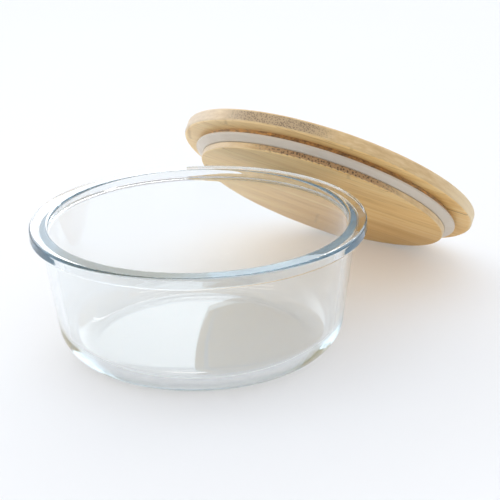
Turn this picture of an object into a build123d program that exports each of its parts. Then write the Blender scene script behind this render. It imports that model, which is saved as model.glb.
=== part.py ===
from build123d import *
from math import cos, radians, sin
import os

# Round glass food container with its bamboo lid leaning on the rim.
# Millimetres. Origin at the centre of the bowl's base, on the table. +Z is up
# and +Y is the way the leaning lid runs down to the table.

# Glass bowl
RIM_RADIUS = 75.0
BOWL_HEIGHT = 60.5
RIM_BAND = 5.2
RIM_EDGE_RADIUS = 1.2
WALL_TOP_RADIUS = 70.2
WALL_FOOT_RADIUS = 62.6
WALL_THICKNESS = 4.0
MOUTH_EDGE_RADIUS = 1.8
UNDER_RIM_RADIUS = 1.4
BASE_THICKNESS = 4.5
CORNER_RADIUS_OUTSIDE = 16.0
CORNER_RADIUS_INSIDE = 13.0

# Bamboo lid: heights are measured down the lid's axis from its outer face
COVER_RADIUS = 75.0
COVER_THICKNESS = 6.5
COVER_EDGE_RADIUS = 1.3
SHOULDER_RADIUS = 65.0
GROOVE_TOP = 9.4
GROOVE_BOTTOM = 12.4
GROOVE_ROOT_RADIUS = 59.0
PLUG_RADIUS = 63.0
LID_DEPTH = 15.4
PLUG_EDGE_RADIUS = 0.7

# Silicone seal ring: a flat root in the groove and a lip that flares outwards.
# It is a little thinner than the groove, which leaves a fine gap above the plug.
SEAL_BOTTOM = 12.1
SEAL_ROOT_GAP = 0.1
SEAL_LIP_ROOT_RADIUS = 63.5
SEAL_LIP_RADIUS = 68.0
SEAL_LIP_TIP = 9.5
SEAL_LIP_THICKNESS = 1.2
SEAL_LIP_ROUNDING = 0.35

# Lean of the lid against the rim
LEAN_ANGLE = 37.4
RIM_GAP = 0.2

# The lid's underside rests on the rounded edge of the rim, and whichever of
# its lower corners is lowest stands on the table.
lean = radians(LEAN_ANGLE)
plug_corner_height = (
    PLUG_EDGE_RADIUS
    + (LID_DEPTH - PLUG_EDGE_RADIUS) * cos(lean)
    + (PLUG_RADIUS - PLUG_EDGE_RADIUS) * sin(lean)
)
cover_corner_height = (
    COVER_EDGE_RADIUS
    + (COVER_THICKNESS - COVER_EDGE_RADIUS) * cos(lean)
    + (COVER_RADIUS - COVER_EDGE_RADIUS) * sin(lean)
)
lid_z = max(plug_corner_height, cover_corner_height)
rim_edge_y = RIM_RADIUS - RIM_EDGE_RADIUS
rim_edge_z = BOWL_HEIGHT - RIM_EDGE_RADIUS
clear_of_rim = LID_DEPTH + RIM_EDGE_RADIUS + RIM_GAP
lid_y = rim_edge_y + ((rim_edge_z - lid_z) * cos(lean) + clear_of_rim) / sin(lean)

lid_plane = Plane(
    origin=(0, lid_y, lid_z),
    x_dir=(1, 0, 0),
    z_dir=(0, sin(lean), cos(lean)),
)
lid_section = Plane(
    origin=lid_plane.origin,
    x_dir=lid_plane.x_dir,
    z_dir=-lid_plane.y_dir,
)
lid_axis = Axis(lid_plane.origin, lid_plane.z_dir)


def round_corner(sketch, point, radius):
    """Round the corner of a half section that lies at the given point."""
    corner = sketch.vertices().sort_by_distance(point)[0]
    fillet(corner, radius)


def wall_radius(height):
    """Radius of the bowl's outside wall at a height above the table."""
    rise = BOWL_HEIGHT - RIM_BAND
    return WALL_FOOT_RADIUS + (WALL_TOP_RADIUS - WALL_FOOT_RADIUS) * height / rise


# Glass bowl, one pressed piece
rim_under = BOWL_HEIGHT - RIM_BAND
inside_top = wall_radius(BOWL_HEIGHT) - WALL_THICKNESS
inside_foot = wall_radius(BASE_THICKNESS) - WALL_THICKNESS
bowl_corners = [
    (0, 0),
    (WALL_FOOT_RADIUS, 0),
    (WALL_TOP_RADIUS, rim_under),
    (RIM_RADIUS, rim_under),
    (RIM_RADIUS, BOWL_HEIGHT),
    (inside_top, BOWL_HEIGHT),
    (inside_foot, BASE_THICKNESS),
    (0, BASE_THICKNESS),
]
with BuildPart() as glass_bowl:
    with BuildSketch(Plane.XZ) as bowl_half:
        with BuildLine():
            Polyline(*bowl_corners, close=True)
        make_face()
        round_corner(bowl_half, (WALL_FOOT_RADIUS, 0), CORNER_RADIUS_OUTSIDE)
        round_corner(bowl_half, (WALL_TOP_RADIUS, rim_under), UNDER_RIM_RADIUS)
        round_corner(bowl_half, (RIM_RADIUS, rim_under), RIM_EDGE_RADIUS)
        round_corner(bowl_half, (RIM_RADIUS, BOWL_HEIGHT), RIM_EDGE_RADIUS)
        round_corner(bowl_half, (inside_top, BOWL_HEIGHT), MOUTH_EDGE_RADIUS)
        round_corner(bowl_half, (inside_foot, BASE_THICKNESS), CORNER_RADIUS_INSIDE)
    revolve(axis=Axis.Z)

# Cover board of the lid, a flat bamboo disc with softened edges
cover_corners = [
    (0, 0),
    (COVER_RADIUS, 0),
    (COVER_RADIUS, -COVER_THICKNESS),
    (0, -COVER_THICKNESS),
]
with BuildPart() as lid_cover:
    with BuildSketch(lid_section) as cover_half:
        with BuildLine():
            Polyline(*cover_corners, close=True)
        make_face()
        round_corner(cover_half, (COVER_RADIUS, 0), COVER_EDGE_RADIUS)
        round_corner(cover_half, (COVER_RADIUS, -COVER_THICKNESS), COVER_EDGE_RADIUS)
    revolve(axis=lid_axis)

# Plug board of the lid: shoulder, groove for the seal, and the disc below it
plug_corners = [
    (0, -COVER_THICKNESS),
    (SHOULDER_RADIUS, -COVER_THICKNESS),
    (SHOULDER_RADIUS, -GROOVE_TOP),
    (GROOVE_ROOT_RADIUS, -GROOVE_TOP),
    (GROOVE_ROOT_RADIUS, -GROOVE_BOTTOM),
    (PLUG_RADIUS, -GROOVE_BOTTOM),
    (PLUG_RADIUS, -LID_DEPTH),
    (0, -LID_DEPTH),
]
with BuildPart() as lid_plug:
    with BuildSketch(lid_section) as plug_half:
        with BuildLine():
            Polyline(*plug_corners, close=True)
        make_face()
        round_corner(plug_half, (PLUG_RADIUS, -LID_DEPTH), PLUG_EDGE_RADIUS)
    revolve(axis=lid_axis)

# Seal ring in the groove
lip_inner = SEAL_LIP_RADIUS - SEAL_LIP_THICKNESS * 0.6
seal_corners = [
    (GROOVE_ROOT_RADIUS + SEAL_ROOT_GAP, -GROOVE_TOP),
    (SEAL_LIP_ROOT_RADIUS - SEAL_LIP_THICKNESS, -GROOVE_TOP),
    (SEAL_LIP_ROOT_RADIUS, -SEAL_BOTTOM + SEAL_LIP_THICKNESS * 1.3),
    (lip_inner, -SEAL_LIP_TIP + SEAL_LIP_THICKNESS * 0.5),
    (SEAL_LIP_RADIUS, -SEAL_LIP_TIP),
    (SEAL_LIP_ROOT_RADIUS, -SEAL_BOTTOM),
    (GROOVE_ROOT_RADIUS + SEAL_ROOT_GAP, -SEAL_BOTTOM),
]
with BuildPart() as seal_ring:
    with BuildSketch(lid_section) as seal_half:
        with BuildLine():
            Polyline(*seal_corners, close=True)
        make_face()
        round_corner(seal_half, seal_corners[3], SEAL_LIP_ROUNDING)
        round_corner(seal_half, seal_corners[4], SEAL_LIP_ROUNDING)
    revolve(axis=lid_axis)

glass_bowl.part.label = "glass_bowl"
lid_cover.part.label = "lid_cover"
lid_plug.part.label = "lid_plug"
seal_ring.part.label = "seal_ring"

os.makedirs("parts", exist_ok=True)
export_step(glass_bowl.part, "parts/glass_bowl.step")
export_step(lid_cover.part, "parts/lid_cover.step")
export_step(lid_plug.part, "parts/lid_plug.step")
export_step(seal_ring.part, "parts/seal_ring.step")
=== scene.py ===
import math

import bpy
from mathutils import Matrix, Vector


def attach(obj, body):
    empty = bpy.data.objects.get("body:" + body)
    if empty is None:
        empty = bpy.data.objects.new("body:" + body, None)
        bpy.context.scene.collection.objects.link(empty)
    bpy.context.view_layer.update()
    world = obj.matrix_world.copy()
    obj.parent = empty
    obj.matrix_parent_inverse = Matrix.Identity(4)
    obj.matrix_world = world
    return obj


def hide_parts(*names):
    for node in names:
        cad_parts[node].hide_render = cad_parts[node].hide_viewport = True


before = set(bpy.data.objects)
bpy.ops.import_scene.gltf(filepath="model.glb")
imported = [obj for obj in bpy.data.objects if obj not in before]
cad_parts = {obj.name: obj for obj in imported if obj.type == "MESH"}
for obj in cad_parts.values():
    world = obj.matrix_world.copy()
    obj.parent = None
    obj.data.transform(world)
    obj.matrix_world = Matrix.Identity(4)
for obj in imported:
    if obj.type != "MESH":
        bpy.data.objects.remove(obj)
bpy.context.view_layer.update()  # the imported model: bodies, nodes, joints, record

# ---------------------------------------------------------------------------
# Sizes, in metres
# ---------------------------------------------------------------------------

MM = 0.001

# Glass bowl
RIM_RADIUS = 75.0 * MM
BOWL_HEIGHT = 60.5 * MM
RIM_BAND = 5.2 * MM
RIM_UNDERSIDE = BOWL_HEIGHT - RIM_BAND
RIM_EDGE_RADIUS = 1.2 * MM
UNDER_RIM_RADIUS = 1.4 * MM
WALL_TOP_RADIUS = 70.2 * MM
WALL_FOOT_RADIUS = 62.6 * MM
WALL_THICKNESS = 4.0 * MM
MOUTH_EDGE_RADIUS = 1.8 * MM
BASE_THICKNESS = 4.5 * MM
CORNER_RADIUS_OUTSIDE = 16.0 * MM
CORNER_RADIUS_INSIDE = 13.0 * MM

# Lid: the centre of its outer face, then sizes down its own axis from that face
LEAN = math.radians(37.4)
LID_MIDDLE = (0.0, 0.11333950902705274, 0.05021740973663141)
SEAL_TOP = 9.4 * MM
SEAL_BOTTOM = 12.1 * MM
SEAL_ROOT_RADIUS = 59.1 * MM
SEAL_LIP_ROOT_RADIUS = 63.5 * MM
SEAL_LIP_RADIUS = 67.9 * MM
SEAL_LIP_TIP = 9.5 * MM
SEAL_LIP_THICKNESS = 1.2 * MM

# Bamboo
KNUCKLE_SPACING = 170.0 * MM
GRAIN_SWAY = 9.0 * MM

# Turned pieces. A section is swept round a small ring, so it is drawn that much
# further in. Its straight runs are divided, with a point close to each end.
STEPS_AROUND = 320
SWEEP_RADIUS = 10.0 * MM
JOIN_DISTANCE = 0.001 * MM
RUN_STEP = 8.0 * MM
END_PAD = 0.25 * MM
SHORTEST_RUN = 0.05 * MM

# Stage
CAMERA_AZIMUTH = 34.22
FLOOR_HALF = 40.0
FLOOR_DROP = 0.1 * MM


# ---------------------------------------------------------------------------
# Camera
# ---------------------------------------------------------------------------

def direction(azimuth, elevation):
    """Unit vector towards an azimuth and elevation in degrees; azimuth 0 is -Y."""
    a, e = math.radians(azimuth), math.radians(elevation)
    return Vector((math.sin(a) * math.cos(e), -math.cos(a) * math.cos(e), math.sin(e)))


def place_camera(azimuth, elevation, roll, distance, aim, lens):
    """Looks at a point from an azimuth, elevation and distance, a little rolled."""
    back = direction(azimuth, elevation)
    a = math.radians(azimuth)
    level = Vector((math.cos(a), math.sin(a), 0.0))
    over = back.cross(level)
    r = math.radians(roll)
    right = level * math.cos(r) + over * math.sin(r)
    up = over * math.cos(r) - level * math.sin(r)
    data = bpy.data.cameras.new("camera")
    data.lens = lens
    data.sensor_width = 36.0
    data.clip_start = 0.01
    data.clip_end = 200.0
    camera = bpy.data.objects.new("camera", data)
    turn = Matrix((right, up, back)).transposed().to_4x4()
    camera.matrix_world = Matrix.Translation(Vector(aim) + back * distance) @ turn
    bpy.context.scene.collection.objects.link(camera)
    bpy.context.scene.camera = camera


place_camera(
    azimuth=CAMERA_AZIMUTH,
    elevation=20.69,
    roll=-1.34,
    distance=0.73295,
    aim=(0.01871, 0.01272, 0.04413),
    lens=117.84,
)


# ---------------------------------------------------------------------------
# Shader recipes
# ---------------------------------------------------------------------------

class Field:
    """A number that changes over the surface, so that maths on it adds nodes."""

    def __init__(self, recipe, socket):
        self.recipe = recipe
        self.socket = socket

    def maths(self, operation, first, second=None, clamp=False):
        sockets = {0: first}
        if second is not None:
            sockets[1] = second
        settings = {"operation": operation, "use_clamp": clamp}
        return self.recipe.node("ShaderNodeMath", settings, sockets)

    def __add__(self, other):
        return self.maths("ADD", self, other)

    def __radd__(self, other):
        return self.maths("ADD", other, self)

    def __sub__(self, other):
        return self.maths("SUBTRACT", self, other)

    def __rsub__(self, other):
        return self.maths("SUBTRACT", other, self)

    def __mul__(self, other):
        return self.maths("MULTIPLY", self, other)

    def __rmul__(self, other):
        return self.maths("MULTIPLY", other, self)

    def __truediv__(self, other):
        return self.maths("DIVIDE", self, other)

    def __neg__(self):
        return self.maths("MULTIPLY", self, -1.0)

    def __abs__(self):
        return self.maths("ABSOLUTE", self)

    def floor(self):
        return self.maths("FLOOR", self)

    def part(self):
        return self.maths("FRACT", self)

    def clamped(self):
        return self.maths("ADD", self, 0.0, clamp=True)

    def ramp(self, low, high, out_low=0.0, out_high=1.0):
        """Smoothly takes low..high to out_low..out_high."""
        settings = {"interpolation_type": "SMOOTHSTEP"}
        sockets = {"Value": self, "From Min": low, "From Max": high}
        sockets.update({"To Min": out_low, "To Max": out_high})
        return self.recipe.node("ShaderNodeMapRange", settings, sockets, "Result")


class Recipe:
    """One material and its nodes."""

    def __init__(self, name, made_in=bpy.data.materials):
        self.material = made_in.new(name)
        self.material.use_nodes = True
        self.tree = self.material.node_tree
        self.tree.nodes.clear()

    def node(self, kind, settings=None, sockets=None, output=0):
        """Adds a node: settings first, then the values or links of its sockets."""
        node = self.tree.nodes.new(kind)
        for name, value in (settings or {}).items():
            if name == "stops":
                self.set_stops(node.color_ramp, value)
            else:
                setattr(node, name, value)
        for name, value in (sockets or {}).items():
            socket = node.inputs[name]
            if isinstance(value, Field):
                self.tree.links.new(value.socket, socket)
            else:
                socket.default_value = value
        return Field(self, node.outputs[output])

    def set_stops(self, ramp, stops):
        while len(ramp.elements) > 1:
            ramp.elements.remove(ramp.elements[-1])
        for i, (place, colour) in enumerate(stops):
            stop = ramp.elements[0] if i == 0 else ramp.elements.new(place)
            stop.position = place
            stop.color = (*colour, 1.0)

    def place(self):
        """The point's own coordinates, in the shared frame."""
        return self.node("ShaderNodeTexCoord", output="Object")

    def square_to_lid(self, vector, origin, turn):
        """Turns a vector square to the leaning lid, then about the lid's axis."""
        square = self.node(
            "ShaderNodeMapping",
            {"vector_type": "TEXTURE"},
            {"Vector": vector, "Location": origin, "Rotation": (-LEAN, 0.0, 0.0)},
        )
        return self.node(
            "ShaderNodeMapping",
            {"vector_type": "TEXTURE"},
            {"Vector": square, "Rotation": (0.0, 0.0, turn)},
        )

    def lid_place(self, turn):
        """Where the point is on the lid: two ways across it, and up its axis."""
        return self.split(self.square_to_lid(self.place(), LID_MIDDLE, turn))

    def lid_facing(self, turn):
        """Which way the surface looks, on the same three axes."""
        normal = self.node("ShaderNodeTexCoord", output="Normal")
        return self.split(self.square_to_lid(normal, (0.0, 0.0, 0.0), turn))

    def split(self, vector):
        node = self.tree.nodes.new("ShaderNodeSeparateXYZ")
        self.tree.links.new(vector.socket, node.inputs[0])
        return [Field(self, socket) for socket in node.outputs]

    def join(self, x, y, z):
        return self.node("ShaderNodeCombineXYZ", None, {0: x, 1: y, 2: z})

    def noise(self, vector, detail=2.0, roughness=0.5, scale=1.0):
        sockets = {"Vector": vector, "Scale": scale, "Detail": detail, "Roughness": roughness}
        return self.node("ShaderNodeTexNoise", {"noise_dimensions": "3D"}, sockets, "Fac")

    def chance(self, number):
        """The same random number for the same input."""
        settings = {"noise_dimensions": "1D"}
        return self.node("ShaderNodeTexWhiteNoise", settings, {"W": number}, "Value")

    def cells(self, vector, scale):
        """Distance to the middle of the nearest cell."""
        settings = {"voronoi_dimensions": "3D", "feature": "F1"}
        sockets = {"Vector": vector, "Scale": scale, "Randomness": 1.0}
        return self.node("ShaderNodeTexVoronoi", settings, sockets, "Distance")

    def colours(self, number, stops):
        """Looks a number up in a row of (place, colour) stops."""
        return self.node("ShaderNodeValToRGB", {"stops": stops}, {0: number}, "Color")

    def blend(self, amount, first, second):
        """Mixes two colours."""
        node = self.tree.nodes.new("ShaderNodeMix")
        node.data_type = "RGBA"
        for index, value in ((0, amount), (6, first), (7, second)):
            if isinstance(value, Field):
                self.tree.links.new(value.socket, node.inputs[index])
            elif index:
                node.inputs[index].default_value = (*value, 1.0)
            else:
                node.inputs[index].default_value = value
        return Field(self, node.outputs[2])

    def bump(self, height, strength, distance):
        sockets = {"Height": height, "Strength": strength, "Distance": distance}
        return self.node("ShaderNodeBump", None, sockets)

    def finish(self, sockets, volume=None):
        """Ends in one shader, with an optional inside."""
        shader = self.node("ShaderNodeBsdfPrincipled", None, sockets)
        output = self.tree.nodes.new("ShaderNodeOutputMaterial")
        self.tree.links.new(shader.socket, output.inputs["Surface"])
        if volume is not None:
            self.tree.links.new(volume.socket, output.inputs["Volume"])
        return self.material


# ---------------------------------------------------------------------------
# Finishes
# ---------------------------------------------------------------------------

def clear_glass():
    """Pressed clear glass: faint press waves, almost no tint, greyer in depth."""
    r = Recipe("clear glass")
    at = r.place()
    waves = r.noise(at, detail=1.0, scale=55.0)
    wipe = r.noise(at, detail=4.0, roughness=0.6, scale=38.0)
    depth = r.node(
        "ShaderNodeVolumeAbsorption",
        None,
        {"Color": (0.40, 0.57, 0.655, 1.0), "Density": 9.0},
    )
    return r.finish(
        {
            "Base Color": r.blend(wipe, (0.985, 0.995, 1.0), (0.965, 0.985, 0.99)),
            "Roughness": wipe.ramp(0.45, 0.8, 0.0, 0.02),
            "IOR": 1.5,
            "Transmission Weight": 1.0,
            "Normal": r.bump(waves, 0.05, 0.4 * MM),
        },
        depth,
    )


def long_grain(r, along, across, deep, drift):
    """Grain noise in four sizes, drawn out along the board and swaying a little."""
    sway = r.noise(r.join(along * 16.0 + drift, across * 30.0, deep * 30.0), 2.0, 0.5)
    waved = across + (sway - 0.5) * GRAIN_SWAY

    def drawn_out(waves_along, waves_across, waves_deep, detail, roughness):
        """Noise with so many waves to the metre each way."""
        place = r.join(along * waves_along + drift, waved * waves_across, deep * waves_deep)
        return r.noise(place, detail, roughness)

    fibres = drawn_out(30.0, 1400.0, 300.0, 3.0, 0.6)
    streaks = drawn_out(16.0, 330.0, 90.0, 3.0, 0.55)
    bands = drawn_out(9.0, 95.0, 20.0, 2.0, 0.5)
    flecks = drawn_out(70.0, 620.0, 200.0, 2.0, 0.5)
    return fibres, streaks, bands, flecks


def sawn_edge(r, core_turn, along, endness, ends_count, cut_tone, pore_tone, neck_shade_and_flecks):
    """Colour of the round edge, and the dots of its cut fibre ends."""
    run, side, level = r.lid_place(core_turn)

    # cut fibre ends, where the edge crosses the core's grain
    cut = r.join(run * 20.0, side * ends_count, level * ends_count)
    dots = 1.0 - r.cells(cut, 1.0).ramp(0.25, 0.52)
    fine_dots = 1.0 - r.cells(cut, 1.9).ramp(0.15, 0.42)
    cut_ends = r.blend(dots, cut_tone, pore_tone)
    cut_ends = r.blend(fine_dots * 0.25, cut_ends, [c * 0.7 for c in cut_tone])

    # long fibres, where the edge runs with it
    long_edge = r.colours(
        r.noise(r.join(run * 14.0, side * 200.0, level * 700.0), 3.0, 0.55),
        [
            (0.30, (0.56, 0.375, 0.175)),
            (0.50, (0.65, 0.455, 0.230)),
            (0.70, (0.73, 0.540, 0.300)),
        ],
    )
    edge = r.blend(endness, long_edge, cut_ends)
    # painted light: the edge pales to a grey sheen towards one end and to a light tan towards
    # the other, where the ends catch the light
    edge = r.blend(along.ramp(35.0 * MM, 72.0 * MM) * 0.45, edge, (0.68, 0.66, 0.63))
    edge = r.blend((-along).ramp(45.0 * MM, 72.0 * MM) * 0.6, edge, (0.86, 0.72, 0.48))

    # painted shade on the neck above the seal, where it sits under the cover, with rough
    # orange-brown flecks
    shaded_neck_colour = r.colours(
        r.noise(r.join(run * 260.0, side * 260.0, level * 900.0), 3.0, 0.7),
        [
            (0.36, (0.10, 0.045, 0.012)),
            (0.50, (0.31, 0.150, 0.042)),
            (0.62, (0.52, 0.240, 0.055)),
            (0.72, (0.86, 0.400, 0.080)),
        ],
    )
    neck = level.ramp(-11.2 * MM, -9.6 * MM)
    return r.blend(neck * neck_shade_and_flecks, edge, shaded_neck_colour), dots


def bamboo(
    name,
    face_turn,
    core_turn,
    ends_from,
    ends_count,
    strip,
    shift,
    cut_tone,
    pore_tone,
    open_seam,
    low_shade,
    neck_shade_and_flecks,
):
    """Glued bamboo board: long grain on its faces, cut fibre ends on its edge.

    face_turn, core_turn -- which way the grain of the face layer and of the core runs
    ends_from, ends_count -- where round the edge the cut ends start, and how many to the metre
    strip, shift -- width of one glued strip, and how far the strips are shifted, in strips
    cut_tone, pore_tone -- colours of the cut ends and of their pores
    open_seam -- where the one open seam lies across the board
    low_shade, neck_shade_and_flecks -- how strong the painted shade on the low side is, and how
    strong the painted shade and orange-brown flecks on the neck above the seal are
    """
    r = Recipe(name)
    along, across, deep = r.lid_place(face_turn)
    _, down, _ = r.lid_place(0.0)
    with_core, _, outward = r.lid_facing(core_turn)
    on_edge = 1.0 - abs(outward).ramp(0.55, 0.85)

    # strips of the face layer, each with its own tone and its own knuckles
    lane = across / strip + shift
    tone = r.chance(lane.floor())
    seam = abs(lane.part() - 0.5).ramp(0.485, 0.498)
    drift = tone * 7.0
    fibres, streaks, bands, flecks = long_grain(r, along, across, deep, drift)
    ragged = r.noise(r.join(along * 90.0, across * 420.0, deep * 90.0), 2.0, 0.5)
    knuckle_run = (along / KNUCKLE_SPACING + drift).part() - 0.5 + (ragged - 0.5) * 0.016
    knuckle = 1.0 - abs(knuckle_run).ramp(0.001, 0.008)

    face = r.colours(
        bands * 0.58 + streaks * 0.32 + fibres * 0.10,
        [
            (0.36, (0.65, 0.375, 0.120)),
            (0.46, (0.77, 0.475, 0.165)),
            (0.53, (0.84, 0.550, 0.210)),
            (0.64, (0.91, 0.665, 0.315)),
        ],
    )
    face = r.blend(tone * 0.30, face, (0.81, 0.54, 0.225))
    # painted light: the face grows paler towards one end, where the light from the left falls
    # on it
    face = r.blend(along.ramp(-20.0 * MM, 70.0 * MM) * 0.55, face, (0.93, 0.77, 0.49))
    # painted shade: the face darkens towards its low side, near the table
    face = r.blend(down.ramp(-10.0 * MM, 62.0 * MM) * low_shade, face, (0.50, 0.30, 0.095))
    face = r.blend(fibres.ramp(0.60, 0.75) * 0.25, face, (0.36, 0.18, 0.06))
    face = r.blend(flecks.ramp(0.62, 0.72) * 0.40, face, (0.40, 0.20, 0.06))
    face = r.blend(knuckle * 0.30, face, (0.33, 0.19, 0.08))
    face = r.blend(seam * 0.30, face, (0.20, 0.11, 0.05))
    face = r.blend(outward.ramp(0.5, 0.9) * 0.5, face, (0.56, 0.385, 0.185))

    # one seam has opened, on the underside and towards one end
    gap = 1.0 - abs(across - open_seam).ramp(0.2 * MM, 0.6 * MM)
    gap = gap * (-along).ramp(20.0 * MM, 50.0 * MM) * (-outward).ramp(0.0, 0.5)
    face = r.blend(gap * 0.8, face, (0.12, 0.06, 0.02))

    endness = abs(with_core).ramp(ends_from, 0.98) * on_edge
    edge, dots = sawn_edge(
        r, core_turn, along, endness, ends_count, cut_tone, pore_tone, neck_shade_and_flecks
    )
    grain = fibres * 0.6 + streaks * 0.4 - seam * 1.2 - knuckle * 0.2
    pits = 0.5 - dots
    relief = r.blend(on_edge, r.join(grain, grain, grain), r.join(pits, pits, pits))
    return r.finish(
        {
            "Base Color": r.blend(on_edge, face, edge),
            "Roughness": (0.62 - streaks * 0.22 + dots * endness * 0.15).clamped(),
            "Coat Weight": 0.06,
            "Coat Roughness": 0.35,
            "Normal": r.bump(relief, 0.25, 0.3 * MM),
        }
    )


def milky_silicone():
    """Translucent silicone: satin, slightly cloudy, with a little dust."""
    r = Recipe("milky silicone")
    at = r.place()
    cloud = r.noise(at, detail=3.0, scale=70.0)
    dust = r.noise(at, detail=2.0, scale=2600.0)
    colour = r.blend(cloud, (0.66, 0.60, 0.515), (0.59, 0.53, 0.455))
    colour = r.blend(dust.ramp(0.66, 0.74) * 0.25, colour, (0.58, 0.54, 0.50))
    return r.finish(
        {
            "Base Color": colour,
            "Roughness": cloud.ramp(0.3, 0.7, 0.30, 0.46),
            "IOR": 1.41,
            "Subsurface Weight": 0.35,
            "Subsurface Radius": (1.0, 0.85, 0.75),
            "Subsurface Scale": 4.0 * MM,
            "Normal": r.bump(dust, 0.06, 0.2 * MM),
        }
    )


# ---------------------------------------------------------------------------
# Turned pieces
# ---------------------------------------------------------------------------

def rounded_corner(before, here, after, rounding, steps):
    """Points of the arc that rounds a corner between its two neighbours."""
    if rounding == 0.0:
        return [here]
    back = (before - here).normalized()
    on = (after - here).normalized()
    half = back.angle(on) / 2
    middle = here + (back + on).normalized() * (rounding / math.sin(half))
    start = here + back * (rounding / math.tan(half)) - middle
    sweep = math.pi - 2 * half
    if start.x * on.y - start.y * on.x < 0:
        sweep = -sweep
    return [middle + Matrix.Rotation(sweep * k / steps, 2) @ start for k in range(steps + 1)]


def straight_run(first, last):
    """Points along a straight run, the outermost ones close to its ends."""
    length = (last - first).length
    if length < SHORTEST_RUN:
        return []
    pad = min(END_PAD, length / 4)
    inner = max(1, round((length - 2 * pad) / RUN_STEP))
    return [
        first.lerp(last, (pad + (length - 2 * pad) * k / inner) / length)
        for k in range(inner + 1)
    ]


def rounded_section(corners, steps=16):
    """Rounds each (radius, height, rounding) corner and divides the straight runs."""
    count = len(corners)
    places = [Vector((radius, height)) for radius, height, _ in corners]
    arcs = [
        rounded_corner(places[i - 1], places[i], places[(i + 1) % count], corners[i][2], steps)
        for i in range(count)
    ]
    points = list(arcs[0])
    for before, arc in zip(arcs, arcs[1:]):
        points.extend(straight_run(before[-1], arc[0]))
        points.extend(arc)
    return points


def lathe_tree():
    """Turns a section, drawn as radius and height, into a solid about the Z axis."""
    tree = bpy.data.node_groups.new("turned piece", "GeometryNodeTree")
    given_sockets = (
        ("Section", "NodeSocketGeometry"),
        ("Steps around", "NodeSocketInt"),
        ("Sweep radius", "NodeSocketFloat"),
        ("Finish", "NodeSocketMaterial"),
    )
    for label, kind in given_sockets:
        tree.interface.new_socket(label, in_out="INPUT", socket_type=kind)
    tree.interface.new_socket("Piece", in_out="OUTPUT", socket_type="NodeSocketGeometry")

    def add(kind, **settings):
        node = tree.nodes.new(kind)
        for name, value in settings.items():
            setattr(node, name, value)
        return node

    def link(a, a_name, b, b_name):
        tree.links.new(a.outputs[a_name], b.inputs[b_name])

    given = add("NodeGroupInput")
    result = add("NodeGroupOutput")
    line = add("GeometryNodeMeshToCurve")
    path = add("GeometryNodeCurvePrimitiveCircle", mode="RADIUS")
    skin = add("GeometryNodeCurveToMesh")
    merge = add("GeometryNodeMergeByDistance")
    merge.inputs["Distance"].default_value = JOIN_DISTANCE
    smooth = add("GeometryNodeSetShadeSmooth")
    real = add("GeometryNodeRealizeInstances")
    paint = add("GeometryNodeSetMaterial")
    link(given, "Section", line, "Mesh")
    link(given, "Steps around", path, "Resolution")
    link(given, "Sweep radius", path, "Radius")
    link(path, "Curve", skin, "Curve")
    link(line, "Curve", skin, "Profile Curve")
    link(skin, "Mesh", merge, "Geometry")
    link(merge, "Geometry", smooth, "Geometry")
    link(smooth, "Geometry", real, "Geometry")
    link(real, "Geometry", paint, "Geometry")
    link(given, "Finish", paint, "Material")
    link(paint, "Geometry", result, "Piece")
    return tree


def turned_piece(name, section, closed, finish, place=Matrix.Identity(4)):
    """A solid of revolution as a plain mesh, at its place in the frame."""
    mesh = bpy.data.meshes.new(name + " section")
    points = [(p.x - SWEEP_RADIUS, -p.y, 0.0) for p in reversed(section)]
    lines = [(i, i + 1) for i in range(len(points) - 1)]
    if closed:
        lines.append((len(points) - 1, 0))
    mesh.from_pydata(points, lines, [])
    holder = bpy.data.objects.new(name + " section", mesh)
    bpy.context.scene.collection.objects.link(holder)
    modifier = holder.modifiers.new("turned", "NODES")
    modifier.node_group = lathe_tree()
    inputs = {
        item.name: item.identifier
        for item in modifier.node_group.interface.items_tree
        if item.in_out == "INPUT"
    }
    modifier[inputs["Steps around"]] = STEPS_AROUND
    modifier[inputs["Sweep radius"]] = SWEEP_RADIUS
    modifier[inputs["Finish"]] = finish
    depsgraph = bpy.context.evaluated_depsgraph_get()
    turned = bpy.data.meshes.new_from_object(holder.evaluated_get(depsgraph))
    bpy.data.objects.remove(holder)
    turned.transform(place)
    turned.name = name
    piece = bpy.data.objects.new(name, turned)
    bpy.context.scene.collection.objects.link(piece)
    return piece


# ---------------------------------------------------------------------------
# Bowl
# ---------------------------------------------------------------------------

def wall_radius(height):
    """Radius of the bowl's outside wall at a height above the table."""
    return WALL_FOOT_RADIUS + (WALL_TOP_RADIUS - WALL_FOOT_RADIUS) * height / RIM_UNDERSIDE


bowl_section = rounded_section(
    [
        (0.0, 0.0, 0.0),
        (WALL_FOOT_RADIUS, 0.0, CORNER_RADIUS_OUTSIDE),
        (WALL_TOP_RADIUS, RIM_UNDERSIDE, UNDER_RIM_RADIUS),
        (RIM_RADIUS, RIM_UNDERSIDE, RIM_EDGE_RADIUS),
        (RIM_RADIUS, BOWL_HEIGHT, RIM_EDGE_RADIUS),
        (wall_radius(BOWL_HEIGHT) - WALL_THICKNESS, BOWL_HEIGHT, MOUTH_EDGE_RADIUS),
        (wall_radius(BASE_THICKNESS) - WALL_THICKNESS, BASE_THICKNESS, CORNER_RADIUS_INSIDE),
        (0.0, BASE_THICKNESS, 0.0),
    ]
)
bowl = turned_piece("pressed_glass_bowl", bowl_section, False, clear_glass())
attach(bowl, "bowl")
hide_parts("glass_bowl")


# ---------------------------------------------------------------------------
# Lid
# ---------------------------------------------------------------------------

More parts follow.
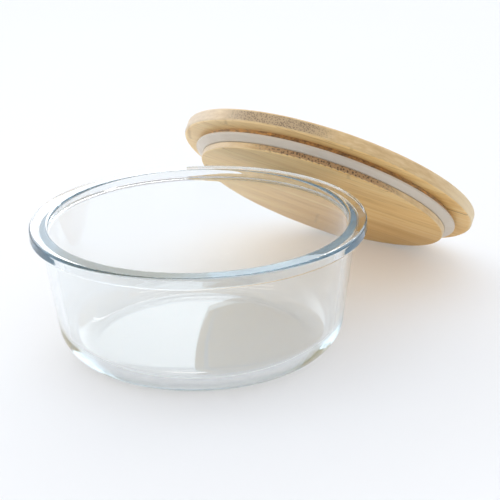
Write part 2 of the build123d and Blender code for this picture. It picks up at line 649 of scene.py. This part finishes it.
lid_place = Matrix.Translation(LID_MIDDLE) @ Matrix.Rotation(-LEAN, 4, "X")
lip = SEAL_LIP_THICKNESS
seal_section = rounded_section(
    [
        (SEAL_ROOT_RADIUS, -SEAL_BOTTOM, 0.2 * MM),
        (SEAL_LIP_ROOT_RADIUS, -SEAL_BOTTOM, 0.4 * MM),
        (SEAL_LIP_RADIUS, -SEAL_LIP_TIP, 0.35 * MM),
        (SEAL_LIP_RADIUS - lip * 0.6, -SEAL_LIP_TIP + lip * 0.5, 0.3 * MM),
        (SEAL_LIP_ROOT_RADIUS, -SEAL_BOTTOM + lip * 1.3, 0.5 * MM),
        (SEAL_LIP_ROOT_RADIUS - lip, -SEAL_TOP, 0.4 * MM),
        (SEAL_ROOT_RADIUS, -SEAL_TOP, 0.2 * MM),
    ],
    steps=6,
)
seal = turned_piece("silicone_seal", seal_section, True, milky_silicone(), lid_place)
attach(seal, "lid")
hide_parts("seal_ring")

cover_finish = bamboo(
    "bamboo cover board",
    face_turn=math.radians(-152),
    core_turn=math.radians(-85),
    ends_from=0.90,
    ends_count=1250.0,
    strip=24.0 * MM,
    shift=0.0,
    cut_tone=(0.46, 0.33, 0.19),
    pore_tone=(0.20, 0.14, 0.08),
    open_seam=24.0 * MM,
    low_shade=0.10,
    neck_shade_and_flecks=0.0,
)
plug_finish = bamboo(
    "bamboo plug board",
    face_turn=math.radians(-150),
    core_turn=math.radians(-62),
    ends_from=0.72,
    ends_count=850.0,
    strip=21.0 * MM,
    shift=0.35,
    cut_tone=(0.37, 0.21, 0.088),
    pore_tone=(0.085, 0.045, 0.018),
    open_seam=200.0 * MM,  # beyond the board: all of its seams are shut
    low_shade=0.60,
    neck_shade_and_flecks=0.75,
)
for node, finish in (("lid_cover", cover_finish), ("lid_plug", plug_finish)):
    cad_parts[node].material_slots[0].material = finish


# ---------------------------------------------------------------------------
# Stage: pale floor and soft studio light
# ---------------------------------------------------------------------------

def pale_floor():
    """Matt pale grey, the same all over but for a faint drift."""
    r = Recipe("pale floor")
    drift = r.noise(r.place(), detail=2.0, scale=3.0)
    return r.finish(
        {
            "Base Color": r.blend(drift, (0.890, 0.890, 0.890), (0.870, 0.870, 0.870)),
            "Roughness": 0.85,
            "Specular IOR Level": 0.1,
        }
    )


floor_mesh = bpy.data.meshes.new("floor")
floor_corners = [
    (side_x * FLOOR_HALF, side_y * FLOOR_HALF, -FLOOR_DROP)
    for side_x, side_y in ((-1, -1), (1, -1), (1, 1), (-1, 1))
]
floor_mesh.from_pydata(floor_corners, [], [(0, 1, 2, 3)])
floor_mesh.materials.append(pale_floor())
floor = bpy.data.objects.new("floor", floor_mesh)
bpy.context.scene.collection.objects.link(floor)


def add_lamp(name, kind, energy, colour, fill, shadow=True):
    """A lamp; a fill casts no shadow and isn't seen in the glass."""
    data = bpy.data.lights.new(name, kind)
    data.energy = energy
    data.color = colour
    data.use_shadow = shadow and not fill
    light = bpy.data.objects.new(name, data)
    light.visible_glossy = not fill
    light.visible_transmission = not fill
    bpy.context.scene.collection.objects.link(light)
    return light


def softbox(name, place, aim, size, watts, colour, turn=0.0, fill=False, shadow=True):
    """A rectangular lamp at a place, aimed at a point and turned about its own axis."""
    light = add_lamp(name, "AREA", watts, colour, fill, shadow)
    light.data.shape = "RECTANGLE"
    light.data.size = size[0]
    light.data.size_y = size[1]
    towards = Vector(aim) - Vector(place)
    facing = towards.to_track_quat("-Z", "Y").to_matrix().to_4x4()
    spin = Matrix.Rotation(math.radians(turn), 4, "Z")
    light.matrix_world = Matrix.Translation(place) @ facing @ spin


def broad_sun(name, azimuth, elevation, strength, angle, colour, fill=False):
    """Far light from an azimuth and elevation; a wide angle makes its shadows soft."""
    light = add_lamp(name, "SUN", strength, colour, fill)
    light.data.angle = math.radians(angle)
    away = direction(azimuth, elevation)
    light.rotation_mode = "QUATERNION"
    light.rotation_quaternion = (-away).to_track_quat("-Z", "Y")


def studio_world(ceiling, walls, back, dim, skirting):
    """A tent of pale walls, brightest behind the object but for a greyer skirting.

    It is dim and bluish low down at the right.
    """
    r = Recipe("studio", bpy.data.worlds)
    x, y, z = r.split(r.node("ShaderNodeTexCoord", output="Generated"))
    turn = math.radians(CAMERA_AZIMUTH)
    behind = (y * math.cos(turn) - x * math.sin(turn)).ramp(0.10, 0.75)
    rightward = (x * math.cos(turn) + y * math.sin(turn)).ramp(0.72, 0.96)
    light = r.blend(behind, walls, back)
    light = r.blend(1.0 - z.ramp(0.35, 0.70), ceiling, light)
    light = r.blend((1.0 - z.ramp(0.10, 0.20)) * behind, light, skirting)
    light = r.blend(rightward * (1.0 - z.ramp(0.25, 0.5)), light, dim)
    sky = r.node("ShaderNodeBackground", None, {"Color": light, "Strength": 1.0})
    out = r.tree.nodes.new("ShaderNodeOutputWorld")
    r.tree.links.new(sky.socket, out.inputs["Surface"])
    bpy.context.scene.world = r.material


studio_world(
    ceiling=(0.65, 0.61, 0.59),
    walls=(0.93, 0.94, 0.96),
    back=(2.38, 2.42, 2.46),
    dim=(0.48, 0.55, 0.65),
    skirting=(0.60, 0.60, 0.66),
)
WARM = (1.0, 0.89, 0.76)
COOL = (0.45, 1.0, 1.60)
NEUTRAL = (1.0, 1.0, 1.0)
broad_sun("key", azimuth=-50.0, elevation=52.0, strength=0.13, angle=40.0, colour=WARM)
broad_sun(
    "sky fill", azimuth=-20.0, elevation=80.0, strength=0.36, angle=60.0, colour=COOL, fill=True
)
softbox(
    "left fill",
    place=(-0.55, -0.33, 0.12),
    aim=(0.0, 0.1, 0.06),
    size=(0.5, 0.3),
    watts=1.0,
    colour=NEUTRAL,
    fill=True,
)
softbox(
    "front fill",
    place=(0.3, -0.45, 0.5),
    aim=(0.15, -0.25, 0.0),
    size=(0.4, 0.4),
    watts=0.28,
    colour=NEUTRAL,
    fill=True,
)
softbox(
    "top strip",
    place=(0.0, 0.0, 0.9),
    aim=(0.0, 0.0, 0.0),
    size=(1.6, 0.08),
    watts=1.35,
    colour=WARM,
    turn=CAMERA_AZIMUTH,
    shadow=False,
)
softbox(
    "back strip",
    place=(-0.552, 0.813, 0.688),
    aim=(0.0, 0.0, 0.02),
    size=(1.3, 0.02),
    watts=1.0,
    colour=NEUTRAL,
)

# light is turned back many times inside the rim before it leaves the glass
scene = bpy.context.scene
scene.view_settings.view_transform = "Standard"
scene.cycles.max_bounces = 100
scene.cycles.transmission_bounces = 60
scene.cycles.glossy_bounces = 100
